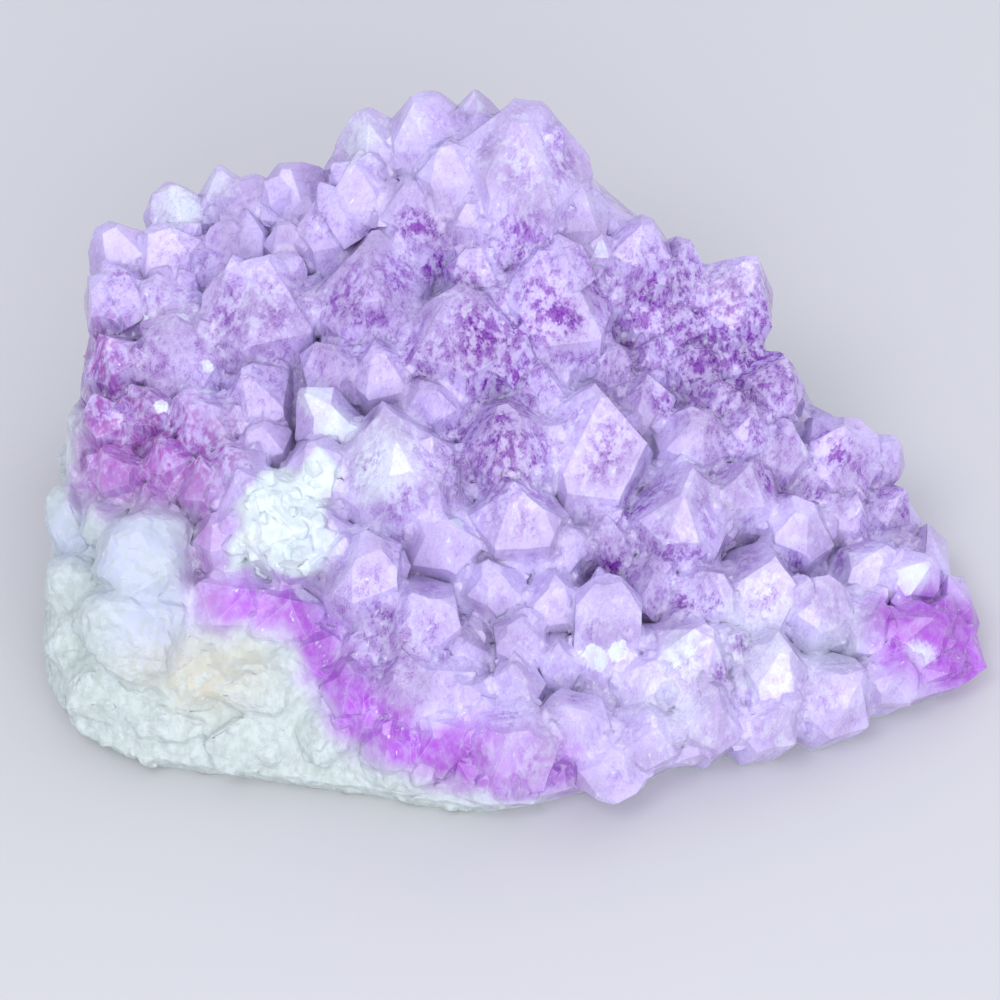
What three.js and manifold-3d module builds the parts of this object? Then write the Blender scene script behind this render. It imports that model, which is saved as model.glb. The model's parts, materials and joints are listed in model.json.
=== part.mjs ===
// An amethyst cluster: one grown piece of quartz, about 112 mm across, that rests on its broken back.
// A lumpy slab of white quartz carries a bed of lilac crystals. Each crystal is a hexagonal prism
// that ends in the six rhombohedral faces of quartz. They have grown into each other and into the
// slab, so the cluster is one solid.
// Millimetres, +Z up, +X to the right seen from the front, +Y to the back. The underside is broken
// flat at z = 0. The tables below are laid out around the middle of the druse, and the finished
// cluster is moved along the floor so that its origin is the middle of its bounding box's floor.
import * as THREE from "three";
import { mergeVertices } from "three/addons/utils/BufferGeometryUtils.js";
import Module from "manifold-3d";

const wasm = await Module();
wasm.setup();

// ---- Driving dimensions ----
const FACE_TILT = THREE.MathUtils.degToRad(51.8); // a rhombohedral face's normal, from the crystal's axis
const CENTRE = new THREE.Vector3(0, 0, 24); // the middle of the druse
const READ_RISE = THREE.MathUtils.degToRad(50); // places are read from the front, this far above the floor
const READ_DISTANCE = 420; // from the eye to the middle of the druse
const BED_CENTRE = [-2, 6, 26]; // the slab's spokes run from here: x, y, z
const FOOT_HEIGHT = 3.5; // the height at which the slab is widest
const FOOT_INSET = 0.93; // how far the underside keeps inside the widest outline
const FAN = 120; // how far from the middle of the druse the crystals' fan would open to 45 degrees
const SLOPE = new THREE.Vector3(0, -0.15, 1); // the growth direction at the middle

// The slab's spokes, anticlockwise from the right-hand tip. Each gives the widest outline near the
// floor (x, y) and the edge of the crystal bed (x, y, z).
const SPOKES = [
  [57.6, -9, 51, -6, 8], [55, 3, 48, 3, 10], [51, 13, 45, 10, 11], [45, 21, 39, 15, 14],
  [37, 30, 32, 22.5, 20], [31, 37.5, 26, 30, 27.5], [23, 42, 18, 34.5, 33], [15, 45.5, 12, 37, 38.5],
  [8, 48, 7, 39, 44], [-3, 48, -3, 39, 45.5], [-14, 47, -12, 38, 44], [-25, 46, -20, 37, 38],
  [-36, 44, -30, 36, 34], [-46, 39, -40, 33, 32], [-51, 30, -45, 27, 30], [-53, 16, -46, 14, 27],
  [-54, 3, -47, 4, 24], [-54, -7, -46, -2, 22], [-51.5, -16, -42, -6, 21], [-44, -21.5, -36, -9, 20],
  [-33, -23.5, -28, -11, 18], [-22, -25.5, -20, -14, 15], [-13, -27, -12, -18, 11], [-5, -29, -5, -21, 9],
  [4, -28, 4, -21, 8], [13, -25, 12, -19, 8], [23, -22, 22, -17, 8], [34, -18, 32, -14, 7],
  [44, -15, 40, -11, 6], [54, -12, 47, -9, 6],
];

// Spot heights of the crystal bed inside that edge: x, y, z.
const BED = [
  [-40, 18, 27], [-28, 18, 29], [-35, 5, 25], [-22, 6, 26], [-14, 22, 34], [-2, 26, 38], [8, 24, 32],
  [-8, 10, 26], [2, 8, 18], [14, 12, 21], [20, 20, 24], [30, 12, 18], [-12, -4, 20], [0, -6, 14],
  [12, -4, 15], [24, 0, 14], [36, 4, 12], [44, 2, 9], [-4, -14, 11], [10, -14, 9], [22, -10, 10],
  [34, -6, 9],
];

// ---- Numbers that repeat the same way each time ----
const hash = (n) => {
  const s = Math.sin(n * 127.1 + 311.7) * 43758.5453;
  return s - Math.floor(s);
};
const between = (low, high, n) => low + (high - low) * hash(n);

// Smooth lumps of about a size, from -1 to 1.
function lumps(place, size) {
  const scaled = place.toArray().map((c) => c / size);
  const cell = scaled.map(Math.floor);
  const share = scaled.map((c, axis) => c - cell[axis]).map((t) => t * t * (3 - 2 * t));
  let sum = 0;
  for (let corner = 0; corner < 8; corner++) {
    const step = [corner & 1, (corner >> 1) & 1, corner >> 2];
    const weight = step.reduce((w, s, axis) => w * (s ? share[axis] : 1 - share[axis]), 1);
    const [i, j, k] = cell.map((c, axis) => c + step[axis]);
    sum += weight * hash(i * 1.7 + j * 57.3 + k * 113.9);
  }
  return 2 * sum - 1;
}

// ---- The slab of quartz ----
const ring = (rows) => new THREE.CatmullRomCurve3(rows.map((r) => new THREE.Vector3(...r)), true);
const footCurve = ring(SPOKES.map(([x, y]) => [x, y, FOOT_HEIGHT]));
const edgeCurve = ring(SPOKES.map((row) => row.slice(2)));
const HEIGHTS = [...BED, ...SPOKES.map((row) => row.slice(2))];

const SLAB_SPOKES = 36;
const BED_RINGS = [0.35, 0.65, 0.88]; // shares of the way from the bed's centre to its edge
const WALL_RINGS = [0.2, 0.6]; // shares of the way from the bed's edge to the widest outline
const WALL_BULGE = 1.5;
const BACK_BULGE = 2; // added where the wall faces the back
const BROAD_LUMPS = { size: 6, height: 1.3 };
const FINE_LUMPS = { size: 2.9, height: 0.8 };
const LUMP_LIFT = 0.6; // how far a lump rises, as a share of how far it stands out
const UNDER = -1; // the slab reaches past the floor, where it is cut flat
const HEIGHT_BLEND = 6; // rounds the bed near its spot heights

// The bed's height from the spot heights, the nearer ones counting more.
function bedHeight(x, y) {
  let sum = 0;
  let weights = 0;
  for (const [sx, sy, sz] of HEIGHTS) {
    const weight = 1 / ((x - sx) ** 2 + (y - sy) ** 2 + HEIGHT_BLEND) ** 2;
    sum += weight * sz;
    weights += weight;
  }
  return sum / weights;
}

function slabGeometry() {
  const rings = [];
  for (const share of BED_RINGS) {
    rings.push((edge) => {
      const x = THREE.MathUtils.lerp(BED_CENTRE[0], edge.x, share);
      const y = THREE.MathUtils.lerp(BED_CENTRE[1], edge.y, share);
      return new THREE.Vector3(x, y, bedHeight(x, y));
    });
  }
  rings.push((edge) => edge.clone());
  for (const share of WALL_RINGS) {
    rings.push((edge, foot) => {
      const out = new THREE.Vector3(foot.x, foot.y, 0).normalize();
      const bulge = WALL_BULGE + BACK_BULGE * Math.max(0, out.y) * (1 - share);
      return edge.clone().lerp(foot, share).addScaledVector(out, bulge);
    });
  }
  rings.push((edge, foot) => foot.clone());
  rings.push((edge, foot) => new THREE.Vector3(foot.x * FOOT_INSET, foot.y * FOOT_INSET, UNDER));

  const points = [new THREE.Vector3(...BED_CENTRE)];
  rings.forEach((place, level) => {
    for (let spoke = 0; spoke < SLAB_SPOKES; spoke++) {
      const t = spoke / SLAB_SPOKES;
      const p = place(edgeCurve.getPoint(t), footCurve.getPoint(t));
      const broad = BROAD_LUMPS.height * lumps(p, BROAD_LUMPS.size);
      const rough = broad + FINE_LUMPS.height * lumps(p, FINE_LUMPS.size);
      const out = new THREE.Vector3(p.x, p.y, 0).normalize();
      if (level < rings.length - 1) p.addScaledVector(out, rough).setZ(p.z + LUMP_LIFT * rough);
      points.push(p);
    }
  });
  points.push(new THREE.Vector3(BED_CENTRE[0], BED_CENTRE[1], UNDER));

  const index = [];
  const at = (level, spoke) => 1 + level * SLAB_SPOKES + (spoke % SLAB_SPOKES);
  for (let spoke = 0; spoke < SLAB_SPOKES; spoke++) {
    index.push(0, at(0, spoke), at(0, spoke + 1));
    for (let level = 0; level < rings.length - 1; level++) {
      const above = [at(level, spoke), at(level, spoke + 1)];
      const below = [at(level + 1, spoke), at(level + 1, spoke + 1)];
      index.push(above[0], below[0], below[1], above[0], below[1], above[1]);
    }
    index.push(points.length - 1, at(rings.length - 1, spoke + 1), at(rings.length - 1, spoke));
  }
  return new THREE.BufferGeometry().setFromPoints(points).setIndex(index);
}

// Which way crystals grow at a place: out of the sloping bed, fanning out from its middle.
function growth(p) {
  return p.clone().sub(CENTRE).divideScalar(FAN).add(SLOPE).normalize();
}

// ---- Solids ----
const SAME_PLACE = 1e-4;

// The geometry with one vertex at each corner.
function welded(geometry) {
  const bare = geometry.clone();
  bare.deleteAttribute("normal");
  bare.deleteAttribute("uv");
  return mergeVertices(bare, SAME_PLACE);
}

function solidOf(geometry) {
  const merged = welded(geometry);
  return new wasm.Manifold(new wasm.Mesh({
    numProp: 3,
    vertProperties: merged.getAttribute("position").array,
    triVerts: new Uint32Array(merged.index.array),
  }));
}

// One crystal with its tip at the local origin and its axis along +Z, cut from a six-sided prism.
const BLANK = 1.25; // the uncut prism's radius, in crystal radii
const SIDE_SPREAD = [0.82, 1.12]; // how far the sides lie from the axis, from least to most
const MAJOR_SPREAD = [0, 0.3]; // how far the tip's larger faces lie from the local origin, in radii
const MINOR_SPREAD = [0.02, 0.36]; // the same for the three smaller faces between them

function crystalSolid(radius, length, seed) {
  const flat = radius * Math.cos(Math.PI / 6);
  const prism = new THREE.CylinderGeometry(radius * BLANK, radius * BLANK, length, 6)
    .rotateX(Math.PI / 2)
    .translate(0, 0, -length / 2);
  let solid = solidOf(prism);
  for (let side = 0; side < 6; side++) {
    const azimuth = ((side + 0.5) * Math.PI) / 3;
    const across = [Math.cos(azimuth), Math.sin(azimuth)];
    const sideAway = flat * between(...SIDE_SPREAD, seed + side);
    solid = solid.trimByPlane([-across[0], -across[1], 0], -sideAway);
    const spread = side % 2 === 1 ? MINOR_SPREAD : MAJOR_SPREAD;
    const tipAway = radius * between(...spread, seed + side + 7);
    const slope = Math.sin(FACE_TILT);
    solid = solid.trimByPlane([-across[0] * slope, -across[1] * slope, -Math.cos(FACE_TILT)], -tipAway);
  }
  return solid;
}

// Stands a crystal with its tip at a point and its axis along a direction.
function stand(solid, tip, axis, turn) {
  const pose = new THREE.Matrix4().compose(
    tip,
    new THREE.Quaternion().setFromUnitVectors(new THREE.Vector3(0, 0, 1), axis)
      .multiply(new THREE.Quaternion().setFromAxisAngle(new THREE.Vector3(0, 0, 1), turn)),
    new THREE.Vector3(1, 1, 1));
  return solid.transform(pose.elements);
}

// ---- Reading places from the front ----
const ACROSS = new THREE.Vector3(1, 0, 0);
const UP = new THREE.Vector3(0, Math.sin(READ_RISE), Math.cos(READ_RISE));
const TOWARDS_EYE = new THREE.Vector3(0, -Math.cos(READ_RISE), Math.sin(READ_RISE));
const EYE = CENTRE.clone().addScaledVector(TOWARDS_EYE, READ_DISTANCE);
const slabShape = slabGeometry();
const slabMesh = new THREE.Mesh(slabShape, new THREE.MeshStandardMaterial());
const EDGE_STEPS = 180;
const edgePlaces = edgeCurve.getPoints(EDGE_STEPS);

// Where the sight line through a place on the reading plane meets the slab. Where it passes over
// the slab, its place nearest to the edge of the bed, and the gap to that edge.
function sight(across, up) {
  const through = CENTRE.clone().addScaledVector(ACROSS, across).addScaledVector(UP, up);
  const line = through.sub(EYE).normalize();
  const hit = new THREE.Raycaster(EYE, line).intersectObject(slabMesh)[0];
  if (hit) return { point: hit.point, line, gap: 0 };
  const ray = new THREE.Ray(EYE, line);
  const nearest = edgePlaces.reduce((a, b) => (ray.distanceToPoint(a) < ray.distanceToPoint(b) ? a : b));
  const point = ray.closestPointToPoint(nearest, new THREE.Vector3());
  return { point, line, gap: ray.distanceToPoint(nearest) };
}

// ---- The crystals seen from the front ----
// Each row: across and up (where the middle of its head shows), radius, how far its shoulder stands
// clear of the bed, how it leans from its growth direction (across, up), and its turn about its own
// axis in degrees.
const CRYSTALS = [
  // the summit
  [2.6, 38.3, 7.4, 3, 0.1, 0.2, 0], [-3, 44.1, 3.7, 3, 0, 0.45, 30], [-14.6, 40.9, 5, 2, -0.1, 0.1, 15],
  [-8.8, 42.7, 4.8, 2.5, -0.05, 0.3, 40], [-16, 35.2, 5.1, 2.5, -0.1, 0.1, 10],
  [-9.8, 33, 4.5, 2.5, 0, 0.1, 25], [-3.4, 32, 4.4, 1.5, 0, 0.1, 45], [7.4, 33, 5, 2, 0.15, 0.1, 20],
  [-5.4, 37.7, 4.2, 3, -0.1, 0.35, 5],
  // the back left
  [-43.6, 28.4, 4.4, 2, -0.15, 0.2, 15], [-37.4, 32.7, 4, 2, -0.1, 0.3, 0],
  [-32.2, 35.5, 3.4, 2, 0, 0.4, 40], [-29, 33.3, 4.6, 2, 0, 0.35, 20],
  [-23.6, 34.9, 4.8, 2, 0, 0.35, 50], [-38, 27.9, 4.7, 2.5, -0.1, 0.25, 5],
  [-31.4, 28.3, 4.4, 2, 0, 0.35, 30], [-45, 22.4, 4.5, 2, -0.2, 0, 45],
  [-39, 21.6, 4.8, 2.5, -0.1, 0.1, 25], [-20.6, 31, 3.6, 2, 0, 0.1, 10],
  // under the summit
  [-27, 21.8, 7.8, 4, 0.2, 0.2, 20], [-14.6, 24, 6.8, 3.5, 0.05, 0.15, 5],
  [-4.9, 18.4, 7, 4.5, 0, 0.1, 40], [6.2, 23.4, 7.4, 3.5, 0, 0.1, 15],
  [15.6, 29, 4.5, 2.5, 0.1, 0.3, 30], [11.6, 28.4, 2.4, 2.5, 0, 0.4, 0],
  [26.2, 23.4, 6.3, 3.5, 0.2, 0.1, 25], [20.4, 26.6, 4, 2.5, 0.1, 0.25, 45],
  [16.6, 21.8, 3.3, 1.5, 0, 0, 10], [20.6, 20, 3.3, 1, 0, 0, 35], [17.4, 16.2, 3.4, 1, 0, 0, 50],
  [22.2, 15.2, 3.3, 1, 0, 0, 20], [25.6, 16.4, 3.2, 1.5, 0, 0, 0], [25, 10.6, 3.6, 1.5, 0, 0, 40],
  [12, 15.8, 3.8, 1.5, 0, 0, 30], [31.2, 13, 4.8, 3, 0.15, 0.15, 10], [32.6, 6, 3.6, 3.5, 0.05, 0.4, 45],
  [28.2, 7.6, 4.2, 3, 0, 0.15, 35],
  // the left
  [-37, 16.4, 5.2, 2.5, 0, 0, 0], [-44.8, 16.2, 3.8, 2, -0.1, 0.2, 20], [-28.4, 11.8, 4.8, 2, 0, 0, 25],
  [-33.6, 8.6, 4.6, 2, 0, 0.1, 5], [-19.4, 15.4, 4, 2, 0, 0, 40], [-45.8, 9.6, 3.2, 2, 0, 0.4, 15],
  [-40.6, 10, 3.4, 2, 0, 0.3, 45], [-38.4, 4.8, 3.2, 2, 0, 0.4, 30], [-44.6, 3.4, 3.5, 2, -0.1, 0.2, 0],
  [-40.4, -0.4, 3, 1.5, 0, 0.3, 35], [-34.4, 2.2, 3.4, 2, 0.2, 0.4, 50],
  [-46.2, -2.6, 3, 1, -0.1, 0.2, 5], [-32.6, -4.6, 3.2, 3, 0.2, 0.4, 20],
  [-30.4, 2.4, 4.2, 2, 0.1, 0.1, 35],
  // the white ones at the lower left
  [-41.8, -6.4, 6.2, 2, 0.05, 0.1, 20], [-43.2, -14.6, 6.2, 1.5, 0, 0, 5],
  [-48.8, -10, 4.2, 1, -0.3, 0, 35],
  // the middle left
  [-14, 14.6, 4.4, 2, 0, 0, 10], [-8, 11.2, 4, 1, 0, 0, 35], [-24, 29.4, 3.6, 2, 0, 0.1, 0],
  [-6.6, 0.4, 3.6, 1, 0, 0, 20], [-21.2, 10, 3.3, 6, -0.9, 0.6, 30], [-12.6, 4.4, 6.8, 4.5, 0, 0.3, 10],
  [-10, 4.6, 5, 2.5, 0.15, 0.1, 30], [-27, -1.6, 5.8, 4.5, -0.1, 0.15, 20],
  [-22.8, -4, 4.6, 4, 0, 0, 45], [-19.8, -4.2, 2.8, 5, 0.05, 0.4, 0], [-15.8, -8.4, 5, 4, 0.05, 0.3, 25],
  [-21.6, 4, 3.8, 5, 0, 0, 5], [-7.2, -5.4, 5, 2, 0, 0, 50], [-27.4, 6.4, 3.4, 2.5, 0, 0.1, 15],
  // the middle
  [0.8, 6.6, 6.4, 0.5, 0, -0.1, 15], [3.8, 12.8, 4.6, 2, 0, 0.1, 35], [11, 6.6, 6.8, 5, 0.1, 0.35, 0],
  [-3.2, 26.6, 4, 1, 0, 0, 5], [8.4, 16.4, 3.4, 1, 0, 0, 25], [16.8, 11.6, 3.8, 1.5, 0, 0, 15],
  [2, -6.8, 3.4, 2, 0, 0, 40], [1.8, -2, 5.8, 4, 0, 0, 5], [-0.8, -10.2, 4.8, 3, 0, 0.1, 30],
  [5.8, -11.8, 4.4, 3, 0.05, 0.1, 10], [7.4, -5.4, 3.4, 3, 0, 0, 45], [-9.8, -14, 5.8, 3, 0, 0, 40],
  [-10.2, -21.4, 5.6, 2.5, 0, 0, 15], [-4.4, -17.2, 3.8, 2.5, 0, 0, 50], [-15, -17, 4, 2, -0.1, 0, 20],
  [2.2, -16.2, 3.6, 3, 0, 0.1, 35], [12.5, -13.4, 4.6, 6, 0, 1.4, 30], [7, -18.6, 3.4, 2, 0, 0, 0],
  [1.7, -21.6, 3.2, 3.5, 0, 0, 5], [-3.4, -22.8, 3.4, 2, 0, 0, 40], [12.6, -4.6, 4.2, 1.5, 0, -0.1, 10],
  // the right
  [20.4, -2.4, 7.2, 4, 0, 0.2, 10], [22, 6.6, 4.6, 2.5, 0, 0.1, 40], [17.6, -10.4, 4.4, 2, -0.1, 0, 35],
  [24, -11, 4.6, 2.5, 0.05, 0, 0], [39, 5, 5.4, 2.5, 0.1, 0.1, 20], [43.8, 4.6, 3.6, 2, 0.2, 0.1, 5],
  [45, -0.8, 3.6, 2, 0.2, 0.1, 30], [40, -1.8, 3.6, 2, 0.1, 0, 50], [27.8, 1.4, 4.4, 3, 0, 0.15, 15],
  [34, -3.6, 4.6, 3, 0, 0.15, 45], [30, -10.4, 5.8, 4, 0, 0.2, 0], [36.8, -12.6, 4.4, 4, 0, 0.45, 25],
  [42.6, -8, 4, 2.5, 0.1, 0.1, 40], [42, -15, 4.4, 2.5, 0.1, 0.1, 5], [48, -8.4, 3.4, 2, 0.2, 0.1, 15],
  [48.4, -15.4, 4, 1.5, 0.1, 0, 50], [35, 1.4, 3.4, 1, 0, 0, 20],
  // the lower right
  [21.6, -18, 5, 4, 0.2, 0.25, 35], [17.6, -21.6, 4.2, 3, 0, 0.1, 10], [26.6, -18, 3.6, 2, 0, 0, 20],
  [31.6, -19.8, 5, 3.5, 0, 0.3, 0], [38.8, -22.4, 4.8, 2, 0.05, 0, 25], [24, -24.2, 4.9, 2.5, 0, 0, 40],
  [31.2, -25.4, 4.2, 2, 0, 0, 15], [17, -26.8, 4.2, 2, 0, 0, 30], [1.2, -28.4, 6, 2, 0, -0.15, 10],
  [8.2, -26, 4.4, 2.5, 0, 0, 50], [-12.6, -27.8, 3.8, 1.5, 0, -0.1, 20], [-7, -28, 4, 1.5, 0, -0.1, 45],
  [-17.4, -22, 3.6, 1.5, 0, 0, 0], [12.5, -31.6, 4.2, 1, 0, -1.5, 30], [45.4, -20, 3.8, 1.5, 0.1, 0, 15],
];

// ---- Blocks of massive quartz on the broken faces ----
// Each row: across and up (where it shows), half its width, height and depth.
const BLOCKS = [
  [-36, -20, 8, 6, 4], [-27, -21, 7, 6, 4], [-45, -21.5, 6, 5.5, 4], [-19, -26, 6, 5.5, 3.5],
  [-32, -12, 6, 4.5, 3], [-25, -13.5, 6, 5, 3], [-20.5, -18.5, 5, 4.5, 3], [-49.6, -3, 3.4, 6, 4],
  [-48.6, 6, 2.6, 6, 4], [-49.4, -15, 3.4, 6, 4], [-10.5, -31, 6.5, 4, 3], [-1, -33, 7, 3, 3],
  [51, -15.5, 4, 4.5, 3], [50, -19.6, 5, 2.6, 3], [-39, -25.4, 6, 3.5, 3], [-28, -27.6, 7, 4, 3],
  [22, -28.6, 5, 2.4, 2.5], [36, -25.6, 5, 2.4, 2.5],
];
const BLOCK_SINK = 0.35; // how much of its depth a block is sunk
const SWELL = [0.85, 1.2]; // how far a block's corners lie from its middle, from least to most
const BLOCK_TWIST = 0.5;

// A rough block: an uneven twenty-sided lump.
function blockSolid(width, height, depth, seed) {
  const geometry = welded(new THREE.IcosahedronGeometry(1, 0)).rotateX(seed).rotateY(2 * seed);
  const places = geometry.getAttribute("position");
  for (let i = 0; i < places.count; i++) {
    const swell = between(...SWELL, seed + i);
    places.setXYZ(i, places.getX(i) * swell, places.getY(i) * swell, places.getZ(i) * swell);
  }
  return solidOf(geometry.scale(width, height, depth).rotateZ(between(-BLOCK_TWIST, BLOCK_TWIST, seed)));
}

function blocks() {
  const frame = new THREE.Matrix4().makeBasis(ACROSS, UP, TOWARDS_EYE);
  return BLOCKS.map(([across, up, width, height, depth], i) => {
    const { point, line } = sight(across, up);
    const pose = frame.clone().setPosition(point.addScaledVector(line, BLOCK_SINK * depth));
    return blockSolid(width, height, depth, 900 + i * 20).transform(pose.elements);
  });
}

// ---- Standing the crystals on the slab ----
const HEAD = 1.05; // how far the tip lies past the middle of the head, in radii
const FOOT = 7; // how far a crystal runs on into the slab, past its shoulder's stand
const GIRTH = 1.12; // crystals crowd into each other: they are this much wider than they show
const SINK = 0.8; // and stand this much of their clear height out of the bed

function frontCrystals() {
  return CRYSTALS.map(([across, up, shown, stands, leanAcross, leanUp, turn], i) => {
    const radius = shown * GIRTH;
    const clear = stands * SINK;
    const { point, line, gap } = sight(across, up);
    const head = point.clone().addScaledVector(line, gap > 0 ? 0 : -clear);
    const axis = growth(head)
      .addScaledVector(ACROSS, leanAcross)
      .addScaledVector(UP, leanUp)
      .normalize();
    const tip = head.addScaledVector(axis, HEAD * shown);
    const length = HEAD * radius + clear + gap + FOOT;
    return stand(crystalSolid(radius, length, i * 20), tip, axis, THREE.MathUtils.degToRad(turn));
  });
}

// ---- The back, out of sight from the front ----
const RIDGE_CRYSTALS = 16; // two rows on the outer side of the ridge
const RIDGE = [0.285, 0.46]; // the ridge's stretch of the bed's edge, as shares of the way round
const ROWS = [[0.2, 0.32], [0.42, 0.6]]; // how far down the wall each row stands, as shares of it
const RIDGE_RADIUS = [3.6, 5.4];
const RIDGE_HEAD = [0.8, 1.15]; // how far the tips stand off the wall, in radii
const WALL_BLOCKS = 16; // on the lower part of the back wall
const WALL_STRETCH = [0.02, 0.52];
const WALL_DOWN = [0.62, 0.9];
const WALL_BLOCK = { sizes: [5.5, 8.5], flatness: 0.8, depth: 3.2, sink: 2.1 };
const FLATTEN = 0.7; // outwards is turned this much towards the front and back
const OUTSIDE = 40; // well clear of the wall
const GOLDEN = 0.618034;

// The slab's surface straight in from outside, a share of the way down its wall, and the way out.
function wallPlace(round, down) {
  const place = edgeCurve.getPoint(round).lerp(footCurve.getPoint(round), down);
  const out = new THREE.Vector3(place.x * FLATTEN, place.y, 0).normalize();
  const from = place.clone().addScaledVector(out, OUTSIDE);
  const hit = new THREE.Raycaster(from, out.clone().negate()).intersectObject(slabMesh)[0];
  return { point: hit.point, out };
}

function ridgeCrystals() {
  return Array.from({ length: RIDGE_CRYSTALS }, (_, i) => {
    const seed = 5000 + i * 20;
    const down = between(...ROWS[i % 2], seed);
    const { point, out } = wallPlace(THREE.MathUtils.lerp(...RIDGE, i / RIDGE_CRYSTALS), down);
    const radius = between(...RIDGE_RADIUS, seed + 1);
    const axis = out.clone()
      .add(new THREE.Vector3(between(-0.25, 0.25, seed + 2), 0, between(0.35, 0.65, seed + 3) - down))
      .normalize();
    const tip = point.addScaledVector(axis, radius * between(...RIDGE_HEAD, seed + 4));
    return stand(crystalSolid(radius, radius + FOOT, seed), tip, axis, between(0, 1, seed + 5));
  });
}

function wallBlocks() {
  return Array.from({ length: WALL_BLOCKS }, (_, i) => {
    const seed = 7000 + i * 20;
    const round = THREE.MathUtils.lerp(...WALL_STRETCH, (i * GOLDEN) % 1);
    const { point, out } = wallPlace(round, between(...WALL_DOWN, seed));
    const pose = new THREE.Matrix4().lookAt(out, new THREE.Vector3(), new THREE.Vector3(0, 0, 1));
    pose.setPosition(point.addScaledVector(out, -WALL_BLOCK.sink));
    const size = between(...WALL_BLOCK.sizes, seed + 1);
    return blockSolid(size, size * WALL_BLOCK.flatness, WALL_BLOCK.depth, seed).transform(pose.elements);
  });
}

// ---- The cluster ----
const grown = wasm.Manifold.union(
  [solidOf(slabShape), ...frontCrystals(), ...blocks(), ...ridgeCrystals(), ...wallBlocks()]);
const pieces = grown.trimByPlane([0, 0, 1], 0).decompose();
const whole = pieces.reduce((a, b) => (a.volume() > b.volume() ? a : b)); // leaves chips of no size

const skin = whole.getMesh();
const clusterGeometry = new THREE.BufferGeometry()
  .setAttribute("position", new THREE.BufferAttribute(skin.vertProperties, 3))
  .setIndex(new THREE.BufferAttribute(skin.triVerts, 1));
clusterGeometry.computeBoundingBox();
const middle = clusterGeometry.boundingBox.getCenter(new THREE.Vector3());
clusterGeometry.translate(-middle.x, -middle.y, 0);
const lilacQuartz = new THREE.MeshStandardMaterial({ color: 0xc3b3ea, roughness: 0.25, metalness: 0 });
const cluster = new THREE.Mesh(clusterGeometry, lilacQuartz);
cluster.name = "amethyst_cluster";

const part = new THREE.Group();
part.add(cluster);
export default part;
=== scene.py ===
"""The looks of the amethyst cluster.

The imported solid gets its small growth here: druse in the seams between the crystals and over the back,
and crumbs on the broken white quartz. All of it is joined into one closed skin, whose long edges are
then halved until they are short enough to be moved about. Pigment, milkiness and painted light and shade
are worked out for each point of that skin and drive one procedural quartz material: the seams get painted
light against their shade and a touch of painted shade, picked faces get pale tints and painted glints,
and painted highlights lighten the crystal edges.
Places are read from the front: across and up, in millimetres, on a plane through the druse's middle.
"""
import json
import math
import random

import bmesh
import bpy
import numpy as np
from mathutils import Matrix, Quaternion, Vector, noise
from mathutils.bvhtree import BVHTree
from mathutils.kdtree import KDTree

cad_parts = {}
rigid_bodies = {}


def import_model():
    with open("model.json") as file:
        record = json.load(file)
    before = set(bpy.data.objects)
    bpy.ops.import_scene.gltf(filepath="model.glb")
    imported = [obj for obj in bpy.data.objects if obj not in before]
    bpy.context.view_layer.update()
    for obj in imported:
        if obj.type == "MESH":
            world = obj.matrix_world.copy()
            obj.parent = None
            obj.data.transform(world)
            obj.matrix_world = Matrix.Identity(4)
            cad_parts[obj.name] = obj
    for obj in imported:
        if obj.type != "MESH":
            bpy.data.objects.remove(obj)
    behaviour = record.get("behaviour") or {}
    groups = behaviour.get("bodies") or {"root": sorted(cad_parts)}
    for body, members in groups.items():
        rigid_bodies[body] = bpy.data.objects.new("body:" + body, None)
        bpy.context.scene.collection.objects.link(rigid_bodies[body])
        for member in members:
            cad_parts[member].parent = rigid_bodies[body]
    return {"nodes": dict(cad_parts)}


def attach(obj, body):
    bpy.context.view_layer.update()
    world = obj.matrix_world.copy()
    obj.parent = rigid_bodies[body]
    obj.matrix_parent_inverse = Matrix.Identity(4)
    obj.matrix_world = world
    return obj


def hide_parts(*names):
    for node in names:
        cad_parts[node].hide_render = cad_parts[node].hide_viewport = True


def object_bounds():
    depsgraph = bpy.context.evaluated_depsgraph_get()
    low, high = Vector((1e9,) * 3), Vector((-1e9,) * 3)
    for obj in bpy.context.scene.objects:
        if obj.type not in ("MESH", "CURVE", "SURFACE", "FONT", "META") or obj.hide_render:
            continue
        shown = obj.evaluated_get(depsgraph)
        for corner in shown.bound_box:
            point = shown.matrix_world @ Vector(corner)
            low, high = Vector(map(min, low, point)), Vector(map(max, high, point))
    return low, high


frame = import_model()
CAD_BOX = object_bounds()

# ---- Driving dimensions ----
MM = 0.001
NODE = "amethyst_cluster"
CENTRE = Vector((-1.668, -10.177, 24)) * MM  # the middle of the druse
VIEW_RISE = math.radians(50)
VIEW_DISTANCE = 420 * MM
PHOTO_WIDTH = 116.3 * MM  # what the picture spans at the middle of the druse
SENSOR = 36  # the camera's, in its own millimetres
CLIP_START = 0.01

SEED = 11
AWAY = Vector((31.4, 15.9, 26.5))  # far enough off for noise to be unlike

ACROSS = Vector((1, 0, 0))
UP = Vector((0, math.sin(VIEW_RISE), math.cos(VIEW_RISE)))
TOWARDS_EYE = Vector((0, -math.cos(VIEW_RISE), math.sin(VIEW_RISE)))
EYE = CENTRE + VIEW_DISTANCE * TOWARDS_EYE
GROWTH = Vector((0, -0.15, 1)).normalized()
FAN = 120 * MM  # the larger, the less the crystals fan out
FLOOR_BAND = 0.1 * MM  # what lies lower belongs to the flat underside


def growth(point):
    """Which way crystals grow at a place, fanning out from the middle of the druse."""
    return (GROWTH + (point - CENTRE) / FAN).normalized()


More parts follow.
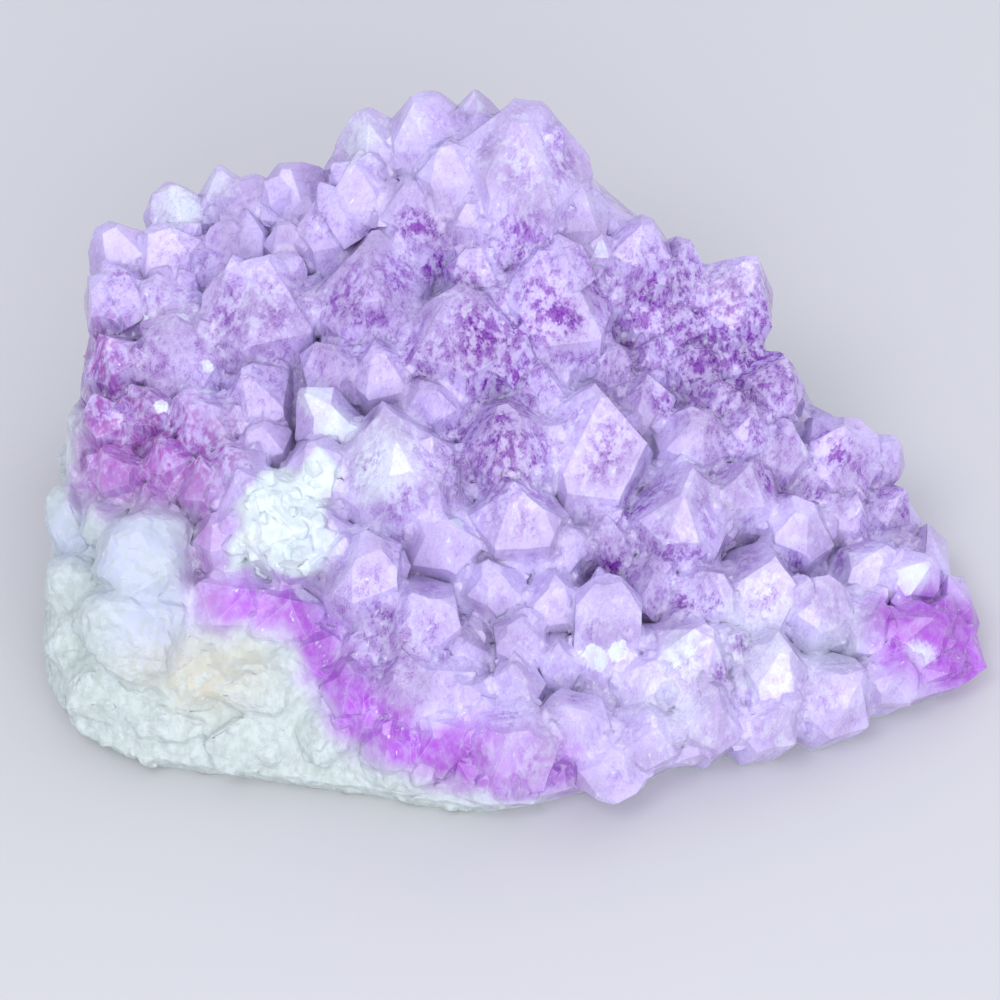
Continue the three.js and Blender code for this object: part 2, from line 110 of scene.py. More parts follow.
# ---- The camera, the floor and the light ----
FLOOR_SIZE = 6
FLOOR_COLOUR = (0.62, 0.62, 0.64, 1)
FLOOR_ROUGHNESS = 0.7
SKY_COLOUR = (0.88, 0.9, 1, 1)
SKY_STRENGTH = 0.88
SOFTBOXES = [  # name, place from the middle of the druse, size and power
    ("key", (-0.2, -0.2, 0.5), 0.25, 0.6),
    ("front", (0.1, -0.45, 0.22), 0.5, 1.2),
    ("back", (0.3, 0.45, 0.35), 0.5, 0.5),
]


def aim(obj, target):
    obj.rotation_euler = (target - obj.location).to_track_quat("-Z", "Y").to_euler()


def add_camera():
    camera = bpy.data.objects.new("camera", bpy.data.cameras.new("camera"))
    bpy.context.scene.collection.objects.link(camera)
    camera.data.sensor_width = SENSOR
    camera.data.lens = SENSOR * VIEW_DISTANCE / PHOTO_WIDTH
    camera.data.clip_start = CLIP_START
    camera.location = EYE
    aim(camera, CENTRE)
    bpy.context.scene.camera = camera


def add_softbox(name, place, target, size, power):
    light = bpy.data.lights.new(name, "AREA")
    light.shape = "DISK"
    light.size = size
    light.energy = power
    obj = bpy.data.objects.new(name, light)
    bpy.context.scene.collection.objects.link(obj)
    obj.location = place
    aim(obj, target)


def add_studio():
    bpy.ops.mesh.primitive_plane_add(size=FLOOR_SIZE)
    floor = bpy.context.object
    floor.name = "floor"
    material = bpy.data.materials.new("pale_floor")
    material.use_nodes = True
    shader = material.node_tree.nodes["Principled BSDF"]
    shader.inputs["Base Color"].default_value = FLOOR_COLOUR
    shader.inputs["Roughness"].default_value = FLOOR_ROUGHNESS
    floor.data.materials.append(material)

    for name, place, size, power in SOFTBOXES:
        add_softbox(name, CENTRE + Vector(place), CENTRE, size, power)

    scene = bpy.context.scene
    world = bpy.data.worlds.new("studio")
    world.use_nodes = True
    world.node_tree.nodes["Background"].inputs["Color"].default_value = SKY_COLOUR
    world.node_tree.nodes["Background"].inputs["Strength"].default_value = SKY_STRENGTH
    scene.world = world
    scene.view_settings.view_transform = "Standard"
    scene.cycles.max_bounces = 3
    scene.cycles.diffuse_bounces = 2
    scene.cycles.glossy_bounces = 1
    scene.cycles.transmission_bounces = 2
    scene.cycles.caustics_reflective = False
    scene.cycles.caustics_refractive = False


# ---- Reading places ----
WELD = 1e-7
cad = frame["nodes"][NODE]
cad_mesh = bmesh.new()
cad_mesh.from_mesh(cad.data)
bmesh.ops.remove_doubles(cad_mesh, verts=cad_mesh.verts, dist=WELD)
cad_mesh.faces.index_update()
cad_mesh.faces.ensure_lookup_table()
cad_tree = BVHTree.FromBMesh(cad_mesh)
CONCAVE = -0.35  # signed angles between faces, in radians
CONVEX = 0.35


def read(across, up):
    """Where the sight line through a place on the reading plane meets the cluster: point, normal and face."""
    through = CENTRE + across * MM * ACROSS + up * MM * UP
    point, normal, index, _ = cad_tree.ray_cast(EYE, (through - EYE).normalized())
    if point is None:
        point, normal, index, _ = cad_tree.find_nearest(through)
    return point, normal, index


# ---- Small growth ----
TIP_TILT = math.radians(51.8)  # of quartz's tip faces, from the crystal's axis
CRYSTAL_LENGTH = 3  # a crystal's numbers are in its own radii
UNCUT_RADIUS = 1.25
SIDE_FACES = (0.75, 0.95)  # how far out the faces are cut
LARGE_TIP_FACES = (0, 0.1)
SMALL_TIP_FACES = (0.02, 0.3)
CRYSTAL_KINDS = 14
SEAM_STEP = 1.0 * MM
SEAM_SPACING = 1.7 * MM
SEAM_LOWEST = 3 * MM
SEAM_MOST_MASSIVE = 0.4  # a place with a larger share of massive quartz bears no crystal
SEAM_GROWTH = 0.7  # how far a crystal turns towards the way of growth, and at random
SEAM_JITTER = 0.25
SEAM_RADII = (0.8, 2.2)  # in millimetres
SEAM_STANDS = (0.4, 1.0)  # how far its tip stands out, in its own radii
BACK_TRIES = 4000
BACK_SPACING = 3.2 * MM
BACK_MOST_MASSIVE = 0.5
BACK_GROWTH = 0.5
BACK_JITTER = 0.3
BACK_RADII = (1.4, 3.0)
BACK_STANDS = (0.4, 0.8)
REAR = 24 * MM  # further back, all faces count as the back's
STEEP_BACKWARDS = 0.2  # by their outward direction, so do steep ones that face backwards
STEEP_LEVEL = 0.45
HIDDEN_FROM = 4 * MM  # and, from here on, those that the eye sees from behind or edge on
EDGE_ON = 0.02
LEVEL = 0.75  # faces more level than this never do
CRUMB_KINDS = 10
CRUMB_CORNERS = (0.7, 1.15)  # how far out, in its radius
CRUMB_TRIES = 9000
CRUMB_SPACING = 1.9 * MM
CRUMB_LEAST_MASSIVE = 0.45
CRUMB_PLENTY = 1.3  # their share at the bottom, which falls by 1 over the next height
CRUMB_FADE = 14 * MM
CRUMB_LOWEST = 1 * MM
CRUMB_RADII = (0.6, 1.6)  # in millimetres
CRUMB_DEPTHS = (0.2, 0.6)  # how far its middle is sunk, in its radius
CRUMB_CLEARANCE = 1.2  # its middle's least height, in its radius
UNDERSIDE = 0.5 * MM  # faces lower than this bear nothing


def crystal_parts(rng):
    """Points and faces of a quartz crystal of radius 1 and length 3, its tip at the origin."""
    body = bmesh.new()
    bmesh.ops.create_cone(
        body, cap_ends=True, segments=6, radius1=UNCUT_RADIUS, radius2=UNCUT_RADIUS, depth=CRYSTAL_LENGTH,
        matrix=Matrix.Translation((0, 0, -CRYSTAL_LENGTH / 2)))
    for side in range(6):
        azimuth = (side + 0.5) * math.pi / 3
        out = Vector((math.cos(azimuth), math.sin(azimuth), 0))
        tip = out * math.sin(TIP_TILT) + Vector((0, 0, math.cos(TIP_TILT)))
        away = rng.uniform(*(SMALL_TIP_FACES if side % 2 else LARGE_TIP_FACES))
        for normal, distance in ((out, rng.uniform(*SIDE_FACES)), (tip, away)):
            parts = body.verts[:] + body.edges[:] + body.faces[:]
            cut = bmesh.ops.bisect_plane(
                body, geom=parts, plane_co=normal * distance, plane_no=normal, clear_outer=True)
            edges = [e for e in cut["geom_cut"] if isinstance(e, bmesh.types.BMEdge)]
            if edges:
                bmesh.ops.contextual_create(body, geom=edges)
    body.verts.ensure_lookup_table()
    points = np.array([v.co[:] for v in body.verts])
    faces = [[v.index for v in f.verts] for f in body.faces]
    body.free()
    return points, faces


def crumb_parts(rng):
    """Points and faces of a rough grain of radius 1."""
    body = bmesh.new()
    bmesh.ops.create_icosphere(body, subdivisions=1, radius=1)
    for v in body.verts:
        v.co *= rng.uniform(*CRUMB_CORNERS)
    points = np.array([v.co[:] for v in body.verts])
    faces = [[v.index for v in f.verts] for f in body.faces]
    body.free()
    return points, faces


class Batch:
    """Small closed shapes that keep clear of each other, gathered into one mesh."""

    def __init__(self):
        self.points = []
        self.faces = []
        self.count = 0
        self.middles = np.empty((0, 3))
        self.reaches = np.empty(0)

    def has_room(self, middle, reach):
        return bool((np.linalg.norm(self.middles - middle, axis=1) > self.reaches + reach).all())

    def add(self, points, faces, middle, reach):
        self.points.append(points)
        self.faces += [[i + self.count for i in f] for f in faces]
        self.count += len(points)
        self.middles = np.vstack([self.middles, middle])
        self.reaches = np.append(self.reaches, reach)

    def mesh(self):
        mesh = bpy.data.meshes.new("batch")
        mesh.from_pydata(np.concatenate(self.points).tolist(), [], self.faces)
        return mesh


def batched(shapes):
    """Sorts shapes, each given by its points and faces, into batches without overlaps."""
    batches = []
    for points, faces in shapes:
        middle = points.mean(axis=0)
        reach = np.linalg.norm(points - middle, axis=1).max()
        batch = next((b for b in batches if b.has_room(middle, reach)), None)
        if batch is None:
            batch = Batch()
            batches.append(batch)
        batch.add(points, faces, middle, reach)
    return batches


def moved(parts, matrix):
    points, faces = parts
    rows = np.array(matrix)
    return points @ rows[:3, :3].T + rows[:3, 3], faces


def standing(tip, axis, radius, turn):
    turned = axis.to_track_quat("Z", "Y") @ Quaternion((0, 0, 1), turn)
    return Matrix.LocRotScale(tip, turned, Vector((radius, radius, radius)))


def seam_places(rng, spacing):
    """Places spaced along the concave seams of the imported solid, with their outward direction."""
    places = []
    for edge in cad_mesh.edges:
        if len(edge.link_faces) != 2 or edge.calc_face_angle_signed() > CONCAVE:
            continue
        a, b = (v.co for v in edge.verts)
        out = (edge.link_faces[0].normal + edge.link_faces[1].normal).normalized()
        steps = max(1, round((b - a).length / spacing))
        for i in range(steps):
            places.append((a.lerp(b, rng.uniform(i, i + 1) / steps), out))
    return places


def thin(places, spacing, rng):
    """Keeps places that lie at least the spacing apart."""
    rng.shuffle(places)
    kept = {}
    for point, out in places:
        key = tuple(int(math.floor(c / spacing)) for c in point)
        near = (kept.get((key[0] + i, key[1] + j, key[2] + k)) for i in (-1, 0, 1) for j in (-1, 0, 1)
                for k in (-1, 0, 1))
        if all(n is None or (n[0] - point).length > spacing for n in near):
            kept[key] = (point, out)
    return list(kept.values())


def surface_places(rng, count):
    """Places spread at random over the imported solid, its underside apart, with their outward direction."""
    faces = [f for f in cad_mesh.faces if f.calc_center_median().z > UNDERSIDE]
    places = []
    for f in rng.choices(faces, [f.calc_area() for f in faces], k=count):
        a, b = rng.random(), rng.random()
        if a + b > 1:
            a, b = 1 - a, 1 - b
        first, second, third = (v.co for v in f.verts)
        places.append((first + a * (second - first) + b * (third - first), f.normal.copy()))
    return places


def with_massive(places):
    """The places, each with how much it belongs to the massive quartz."""
    shares = massive_at(np.array([point[:] for point, _ in places]))
    return [(point, out, share) for (point, out), share in zip(places, shares)]


def jitter(rng):
    return Vector((rng.gauss(0, 1), rng.gauss(0, 1), rng.gauss(0, 1)))


def sprouted(rng, kinds, point, out, growth_share, jitter_share, radii, stands):
    """A crystal on the surface at a place."""
    axis = (out + growth_share * growth(point) + jitter_share * jitter(rng)).normalized()
    radius = rng.uniform(*radii) * MM
    tip = point + axis * radius * rng.uniform(*stands)
    return moved(rng.choice(kinds), standing(tip, axis, radius, rng.uniform(0, 1)))


def small_crystals(rng):
    """Small crystals in the seams of the druse, and on what faces away from the front."""
    kinds = [crystal_parts(rng) for _ in range(CRYSTAL_KINDS)]
    for point, out, share in with_massive(thin(seam_places(rng, SEAM_STEP), SEAM_SPACING, rng)):
        if share <= SEAM_MOST_MASSIVE and point.z >= SEAM_LOWEST:
            yield sprouted(rng, kinds, point, out, SEAM_GROWTH, SEAM_JITTER, SEAM_RADII, SEAM_STANDS)
    for point, out, share in with_massive(thin(surface_places(rng, BACK_TRIES), BACK_SPACING, rng)):
        rear = point.y >= REAR
        steep = out.y > STEEP_BACKWARDS and out.z < STEEP_LEVEL
        hidden = point.y > HIDDEN_FROM and out.dot(TOWARDS_EYE) < EDGE_ON
        if share <= BACK_MOST_MASSIVE and out.z <= LEVEL and (rear or steep or hidden):
            yield sprouted(rng, kinds, point, out, BACK_GROWTH, BACK_JITTER, BACK_RADII, BACK_STANDS)


def crumbs(rng):
    """Grains on the massive quartz, most of them low down, and on the opaque patch."""
    kinds = [crumb_parts(rng) for _ in range(CRUMB_KINDS)]
    for point, out, share in with_massive(thin(surface_places(rng, CRUMB_TRIES), CRUMB_SPACING, rng)):
        crumbly = patch_at(np.array([point[:]]), OPAQUE, OPAQUE_BORDER)[0] > 0.5
        low = share >= CRUMB_LEAST_MASSIVE and rng.random() < CRUMB_PLENTY - point.z / CRUMB_FADE
        if point.z < CRUMB_LOWEST or not (low or crumbly):
            continue
        radius = rng.uniform(*CRUMB_RADII) * MM
        place = point - out * radius * rng.uniform(*CRUMB_DEPTHS)
        place.z = max(place.z, CRUMB_CLEARANCE * radius)
        yield moved(rng.choice(kinds), standing(place, jitter(rng).normalized(), radius, 0))


def inside_box(shape):
    """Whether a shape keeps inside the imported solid's box."""
    low, high = (np.array(c) for c in CAD_BOX)
    return bool((shape[0] > low).all() and (shape[0] < high).all())


def inside_outline(shape):
    """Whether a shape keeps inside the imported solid's outline, seen from the front."""
    return all(cad_tree.ray_cast(EYE, (Vector(p) - EYE).normalized())[0] is not None for p in shape[0])


# ---- The skin ----
FLAT = 0.01  # radians between faces that count as one
SHORTEST_EDGE = 0.1 * MM
COLLAPSE_ROUNDS = 8
# The longest edges left in each part of the skin, and where the parts end, in millimetres.
UNDERSIDE_EDGE = 6
UNDERSIDE_TOP = 0.2
BACK_EDGE = 2.2
BACK_START = 20
FRONT_EDGE = 1.4
MASSIVE_EDGE = 1.0
MASSIVE_RIGHT = 5
MASSIVE_START = -15
MASSIVE_TOP = 20


def united(base, batch):
    """The base mesh joined with a batch of closed shapes."""
    scene = bpy.context.scene.collection.objects
    host = bpy.data.objects.new("host", base)
    tool = bpy.data.objects.new("tool", batch)
    scene.link(host)
    scene.link(tool)
    join = host.modifiers.new("join", "BOOLEAN")
    join.operation = "UNION"
    join.solver = "MANIFOLD"
    join.object = tool
    whole = bpy.data.meshes.new_from_object(host.evaluated_get(bpy.context.evaluated_depsgraph_get()))
    bpy.data.objects.remove(host)
    bpy.data.objects.remove(tool)
    return whole


def beside(v):
    """The vertices that share an edge with one."""
    return {e.other_vert(v) for e in v.link_edges}


def without_slivers(body):
    """Turns edges on flat places for fuller triangles, and closes short ones where the skin stays whole."""
    flat = [e for e in body.edges if e.calc_face_angle(1) < FLAT]
    bmesh.ops.beautify_fill(body, faces=body.faces[:], edges=flat, method="ANGLE")
    for _ in range(COLLAPSE_ROUNDS):
        taken = set()
        picked = []
        short = [e for e in body.edges if e.calc_length() < SHORTEST_EDGE]
        for e in sorted(short, key=lambda e: e.calc_length()):
            first, second = (beside(v) for v in e.verts)
            shared = first & second
            closable = len(shared) == 2 and min(len(v.link_edges) for v in shared) > 3
            if closable and not (first | second) & taken:
                taken |= first | second
                picked.append(e)
        if not picked:
            break
        bmesh.ops.collapse(body, edges=picked)


def longest(points):
    """The longest edge that may stay at each point, in metres."""
    x, y, z = points.T / MM
    massive = (x < MASSIVE_RIGHT) & (y < MASSIVE_START) & (z < MASSIVE_TOP)
    front = np.where(massive, MASSIVE_EDGE, FRONT_EDGE)
    standing_part = np.where(y > BACK_START, BACK_EDGE, front)
    return np.where(z < UNDERSIDE_TOP, UNDERSIDE_EDGE, standing_part) * MM


def middles_of(points, a, b):
    return (points[a] + points[b]) / 2


def halved(points, triangles):
    """Halves each edge that is longer than longest() allows at its middle, for both its triangles alike."""
    sides = np.sort(triangles[:, [[0, 1], [1, 2], [2, 0]]], axis=2)
    pairs, place = np.unique(sides.reshape(-1, 2), axis=0, return_inverse=True)
    middles = points[pairs].mean(axis=1)
    long = np.linalg.norm(points[pairs[:, 0]] - points[pairs[:, 1]], axis=1) > longest(middles)
    fresh = np.full(len(pairs), -1)
    fresh[long] = len(points) + np.arange(long.sum())
    cuts = fresh[place.reshape(-1, 3)]
    count = (cuts >= 0).sum(axis=1)

    def turned(wanted, first):
        """The triangles with so many cuts, each turned so that its first cut or whole side comes first."""
        rows = np.flatnonzero(count == wanted)
        start = first(cuts[rows])
        order = (start[:, None] + np.arange(3)) % 3
        return *np.take_along_axis(triangles[rows], order, 1).T, *np.take_along_axis(cuts[rows], order, 1).T

    whole = triangles[count == 0]
    a, b, c, p, _, _ = turned(1, lambda rows: (rows >= 0).argmax(axis=1))
    halves = [(a, p, c), (p, b, c)]
    a, b, c, _, q, r = turned(2, lambda rows: (rows < 0).argmax(axis=1))
    short = np.linalg.norm(points[a] - middles_of(points, b, c), axis=1)
    other = np.linalg.norm(points[b] - middles_of(points, c, a), axis=1)
    from_a = short < other
    thirds = [(r, q, c), (a, b, np.where(from_a, q, r)), (np.where(from_a, a, b), q, r)]
    a, b, c, p, q, r = turned(3, lambda rows: np.zeros(len(rows), dtype=int))
    quarters = [(a, p, r), (p, b, q), (r, q, c), (p, q, r)]
    parts = [np.stack(corners, axis=1) for corners in (*halves, *thirds, *quarters)]
    return np.vstack([points, middles[long]]), np.vstack([whole, *parts]), bool(long.any())


def refined(mesh):
    """The mesh with no edge longer than longest() allows."""
    body = bmesh.new()
    body.from_mesh(mesh)
    bmesh.ops.triangulate(body, faces=[f for f in body.faces if len(f.verts) > 3])
    without_slivers(body)
    body.verts.index_update()
    points = np.array([v.co[:] for v in body.verts])
    triangles = np.array([[v.index for v in f.verts] for f in body.faces])
    body.free()
    more = True
    while more:
        points, triangles, more = halved(points, triangles)
    fine = bpy.data.meshes.new(mesh.name)
    fine.from_pydata(points.tolist(), [], triangles.tolist())
    return fine


def grown_skin():
    """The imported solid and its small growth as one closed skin."""
    rng = random.Random(SEED)
    skin = bpy.data.meshes.new("amethyst_skin")
    cad_mesh.to_mesh(skin)
    shapes = [s for s in small_crystals(rng) if inside_outline(s)] + list(crumbs(rng))
    shapes = [s for s in shapes if inside_box(s)]
    for batch in batched(shapes):
        skin = united(skin, batch.mesh())

    return refined(skin)


def coords(mesh):
    flat = np.empty(len(mesh.vertices) * 3)
    mesh.vertices.foreach_get("co", flat)
    return flat.reshape(-1, 3)


def normals(mesh):
    flat = np.empty(len(mesh.vertices) * 3)
    mesh.vertex_normals.foreach_get("vector", flat)
    return flat.reshape(-1, 3)


def edges(mesh):
    flat = np.empty(len(mesh.edges) * 2, dtype=np.int64)
    mesh.edges.foreach_get("vertices", flat)
    return flat.reshape(-1, 2)


def smoothed(values, pairs, rounds):
    """Values averaged with their neighbours' over and over."""
    counts = np.bincount(pairs.ravel(), minlength=len(values)).astype(float)
    out = values.copy()
    for _ in range(rounds):
        total = np.zeros_like(out)
        for axis in range(out.shape[1]):
            a = np.bincount(pairs[:, 0], weights=out[pairs[:, 1], axis], minlength=len(out))
            b = np.bincount(pairs[:, 1], weights=out[pairs[:, 0], axis], minlength=len(out))
            total[:, axis] = a + b
        out = 0.5 * out + 0.5 * total / counts[:, None]
    return out


# ---- Pigment, read from the front ----
# Patches are given by their corners, across and up in millimetres, and a border by half its width.
MASSIVE_BORDER = 1.0
MASSIVE_FADE = 3.0  # the same border for the colour
OPAQUE_BORDER = 0.9
BAND_BORDER = 1.6
PINK_BORDER = 2.0
STREAKED_BORDER = 2.5
BORDER_WAVER = 1.3
BORDER_WAVE = 2.8 * MM
FALLOFF = 0.9
# Out of the front's sight, massive quartz is the foot of the back and a low rim all round.
BEHIND = 8 * MM
BEHIND_FADE = 12 * MM
FOOT = 14 * MM
FOOT_FADE = 5 * MM
FOOT_WAVE = 9 * MM
FOOT_FRACTAL = (0.8, 2, 3)  # noise.fractal's own numbers
FOOT_WAVER = 3 * MM
RIM = 1.2 * MM
RIM_BEHIND = 2 * MM  # what is added to it there
RIM_FADE = 1.5 * MM
MASSIVE = [  # the broken white quartz under the crystals
    (-49.5, 19), (-49.5, 0), (-46, -1.5), (-42, -1), (-37, -1), (-36, -4), (-36.5, -8), (-35.5, -14),
    (-32, -15.5), (-27, -15), (-24, -17), (-22.5, -21), (-20, -25.5), (-17, -29), (-13, -31.5), (-6, -33.5),
    (2, -35), (8, -36), (8, -50), (-75, -50), (-75, 19),
]
OPAQUE = [  # a crumbly white patch in the druse
    (-32, -8), (-31, -4), (-30, 0.5), (-27.5, 3), (-23.5, 3.8), (-20.5, 6.5), (-18.2, 3.5), (-20, -1),
    (-19.6, -6), (-22, -9), (-26, -8.5),
]
BAND = [  # the saturated violet beside it
    (-34, -10.5), (-30, -9.8), (-25, -10), (-21.5, -12), (-19, -15), (-18, -19), (-14.5, -21), (-12.5, -24),
    (-9, -26.5), (-3, -26), (4, -26.5), (9, -29), (8, -33), (2, -35), (-6, -33.5), (-13, -31.5), (-17, -29),
    (-20, -25.5), (-22.5, -21), (-24, -17), (-27, -15), (-32, -15.5),
]
TIP = [  # saturated violet again, at the right end
    (43.5, -12), (47, -11), (50.5, -9), (60, -15), (60, -21), (52, -22), (47.5, -20.5), (44, -19),
]
STREAKED = [  # long wine-red streaks
    (-49.5, 21), (-49.5, 3), (-44, 1), (-37, 1), (-31, 3), (-30, 7), (-36, 11), (-42, 14), (-45, 21),
]
PINK = [  # pinkish magenta
    (-49.5, 8), (-49.5, 0), (-46, -1.5), (-42, -1), (-37, -1), (-36, -4), (-36.5, -8), (-35.5, -14),
    (-32, -13), (-34, -9), (-32.5, -4), (-32.5, 1), (-35, 5), (-39, 5.5), (-43, 8),
]
# Each row below: across, up, radius in millimetres, strength.
# Partly pale milky faces, partly painted glints: the lamps' reflections painted onto picked faces.
PANES = [  # bright faces
    (-37.5, 34.3, 5, 0.5), (-12.5, 45, 3, 0.4), (-2.6, 45.8, 2.5, 0.5), (12, 29.2, 3, 0.6),
    (-22, 12.4, 4, 0.7), (-19, 10, 4, 0.6), (-19.5, 7.6, 4, 0.7), (-20, 2.2, 4, 0.6), (-20, -4.3, 4, 0.8),
    (20.8, -17.8, 3, 0.45), (22.5, -16, 2.5, 0.5), (31.5, -21, 5, 0.4), (28, -21, 5, 0.4),
    (30, -11, 6, 0.3), (48.3, -9, 4, 0.6), (48.4, -18.4, 3, 0.55), (24, -27, 5, 0.3), (11, -18.4, 1.8, 0.9),
    (13.8, -17.6, 1.4, 0.9), (-5.5, -2.6, 2, 0.9), (-22.4, -10.8, 2, 0.6), (8.7, 12.4, 2, 0.4),
    (40.3, 9.7, 2.5, 0.5), (-35, 25.3, 1, 0.9), (-41.2, 21, 0.8, 0.9), (-37, 21.5, 1, 0.9),
    (-34, 15.5, 0.8, 0.9), (-34.4, 12.7, 0.9, 0.9), (-39.4, 11, 0.8, 0.9),
]
CLOUDED = [  # paler, milkier quartz
    (-37.5, 34, 4, 1), (-33, 36.6, 2.8, 0.8), (-16.5, 42, 5, 0.8), (-9, 42, 4, 0.4), (2.6, 40, 7, 0.55),
    (-3, 46, 2, 0.6), (-22, 12, 3, 0.9), (-18.5, 9, 3.4, 0.9), (-9.5, 2, 5, 0.5), (-20, -5, 2.5, 0.9),
    (-27, 24, 6, 0.5), (-4.9, 21, 5, 0.35), (27, 26, 5, 0.45), (12, 9, 5, 0.35), (9, 3, 6, 0.35),
    (20, 2, 5, 0.45), (22, -1, 6, 0.4), (1.5, 0, 6, 0.45), (-1, -9, 5, 0.35), (12, -18, 6, 0.5),
    (21, -17.5, 4, 0.8), (31, -20, 5, 0.65), (30, -11, 6, 0.6), (26, -26, 6, 0.5), (18, -24, 5, 0.4),
    (38, -21, 5, 0.5), (40, -14, 5, 0.6), (48.3, -9, 2.5, 0.9), (48.4, -18, 2.4, 1), (1.5, -22, 3, 0.6),
    (-8, -14, 6, 0.3), (36, -4, 5, 0.3), (-38, 22, 4, 0.35), (-43, -6, 7, 0.9), (-40, -13, 6, 0.8),
    (-50, -4, 5, 0.7), (-15, -28, 4, 0.5), (34, -26, 6, 0.6), (16, -14, 6, 0.5), (6, -12, 5, 0.4),
    (27, -2, 5, 0.4), (44, -10, 4, 0.6), (30, -3, 5, 0.35), (24, -20, 8, 0.5), (36, -17, 7, 0.6),
    (14, -22, 6, 0.6), (10, -3, 6, 0.4), (-2, -18, 6, 0.5), (3, -30, 7, 0.8), (-27, -12, 3, 0.3),
    (-14, 4, 6.5, 0.9), (30, -16, 10, 0.75), (20, -24, 8, 0.75), (38, -18, 7, 0.8), (42, -8, 6, 0.6),
    (8, -17, 7, 0.55),
]
DARK = [  # violet cores
    (-10.5, 32, 2.2, 0.9), (-8.3, 31, 1.8, 0.8), (-15.5, 31.3, 2, 0.7), (-20.5, 32.5, 2, 0.6),
    (-7.6, 27.2, 2, 1), (-5.5, 26.3, 1.6, 0.9), (-3.2, 25.2, 1.6, 0.8), (3.5, 24.5, 2, 0.8),
    (6, 22.2, 2.6, 1), (6.5, 20.5, 2, 1), (2.6, 20, 2.2, 0.9), (1.5, 17, 1.6, 0.7), (8.5, 20.8, 1.6, 0.8),
    (-16.3, 23.3, 1.8, 0.7), (-17, 21.4, 2, 0.8), (-18.5, 18.6, 1.8, 0.6), (-7, 17, 2, 0.7),
    (-10.3, 17, 1.8, 0.7), (-9, 15, 1.8, 0.6), (16.8, 23.8, 2, 0.9), (19.2, 22.5, 1.8, 0.9),
    (21.3, 20.3, 2.2, 1), (17, 20.8, 2, 0.9), (14.5, 18.2, 2, 0.8), (11.2, 16, 1.8, 0.7),
    (21.5, 17, 2.2, 0.9), (22.5, 25, 1.8, 0.7), (23.4, 21, 2, 0.9), (26, 17, 2, 0.9), (24, 15.2, 2, 0.9),
    (21.8, 13, 2, 0.9), (19.8, 11, 2, 0.9), (25.2, 10.4, 2, 0.8), (26.5, 12.8, 1.8, 0.9), (0.8, 6.3, 3, 1),
    (-0.5, 6, 5.5, 0.5), (-4.8, 6.6, 2.2, 0.8), (-0.2, 9.8, 2.2, 0.8), (3.6, 4, 2, 0.8), (0.6, 3, 2, 0.8),
    (-3.2, 2.8, 1.8, 0.7), (13.2, -8, 2.2, 0.9), (10.5, -8, 2.2, 0.5), (15.4, -1.6, 2, 0.7),
    (19.4, -5.8, 2.2, 0.7), (22.3, -6.5, 1.6, 0.7), (21.2, -12.2, 1.8, 0.7), (17.5, -13, 1.6, 0.5),
    (-12, -6.5, 1.6, 0.5), (24.5, -12, 1.6, 0.6), (26, -20, 1.4, 0.7), (28, -16.5, 1.4, 0.6),
    (30.8, 2.6, 2, 0.9), (33, 0.6, 1.8, 0.8), (36.6, 0.8, 1.8, 0.7), (38, 7, 1.8, 0.7), (39.3, 5, 2.2, 1),
    (47.5, -1.5, 1.6, 0.6), (42, -4, 1.6, 0.6), (39.5, -6, 1.6, 0.6), (34.5, -7, 1.6, 0.6),
    (-22.5, -1.8, 0.9, 0.9), (-47, 14.5, 1.6, 0.9), (-46.6, 9.5, 1.8, 0.9), (-45, 11.8, 1.8, 0.9),
    (-40.5, 7.5, 1.8, 0.8), (-38, 6.5, 1.8, 0.8), (-34.5, 5.5, 1.8, 0.8), (-44, 26, 2, 0.6),
    (-40.6, 23.8, 2, 0.5), (-31.5, 15.8, 1.8, 0.5), (-27, 25, 2, 0.3), (22, 19, 7, 0.45), (24, 12, 5, 0.45),
    (4, 21, 5, 0.4), (-8, 29, 5, 0.35), (38, 4, 5, 0.35), (14, -6, 5, 0.35), (21, -8, 5, 0.3),
    (27, 17, 10, 0.85), (18, 23, 8, 0.75), (29, 9, 7, 0.5), (44, 0, 6, 0.4), (-45, 18, 6, 0.5),
    (2, 24, 9, 0.4), (-17, 22, 8, 0.4), (-1, 6, 7, 0.6), (3, 28.5, 5, 0.5), (-30, 16, 9, 0.3),
    (-42, 9, 6, 0.5), (-9, 16, 4, 0.3), (17, 16, 6, 0.5), (0, 17, 8, 0.7), (-35, 28, 6, 0.25),
    (-13, -17, 6, 0.4), (-16, -12, 4, 0.3), (14, 7, 5, 0.25),
]
# The last row is a painted cream glint on a crystal, not a place of the white quartz.
CREAM = [  # yellowish places of the white quartz
    (-34.5, -20.5, 5, 0.9), (-40, -20, 4, 0.5), (-30, -19.5, 3.5, 0.7), (-29, -5, 1.6, 1), (-20, 2, 2.2, 0.6),
    (-5.5, -2.6, 1.3, 0.8),
]


def placed(rows):
    """The rows' places on the cluster, with radius in metres and strength."""
    return [(read(across, up)[0], radius * MM, strength) for across, up, radius, strength in rows]


def strength_at(points, rows):
    """How strongly the placed rows act on each point, from 0 to 1."""
    out = np.zeros(len(points))
    for place, radius, strength in rows:
        away = np.linalg.norm(points - np.array(place), axis=1) / radius
        out = np.maximum(out, strength * np.exp(-FALLOFF * away ** 3))
    return out


def readings(points):
    """The points' places on the reading plane, in millimetres."""
    lines = points - np.array(EYE)
    scale = VIEW_DISTANCE / -(lines @ np.array(TOWARDS_EYE))
    through = lines * scale[:, None] + np.array(EYE - CENTRE)
    return np.stack([through @ np.array(ACROSS), through @ np.array(UP)], axis=1) / MM


def waver(points, size):
    """Two smooth random numbers for each point, from about -1 to 1."""
    spots = [Vector(p) / size for p in points]
    return np.array([(noise.noise(s), noise.noise(s + AWAY)) for s in spots])


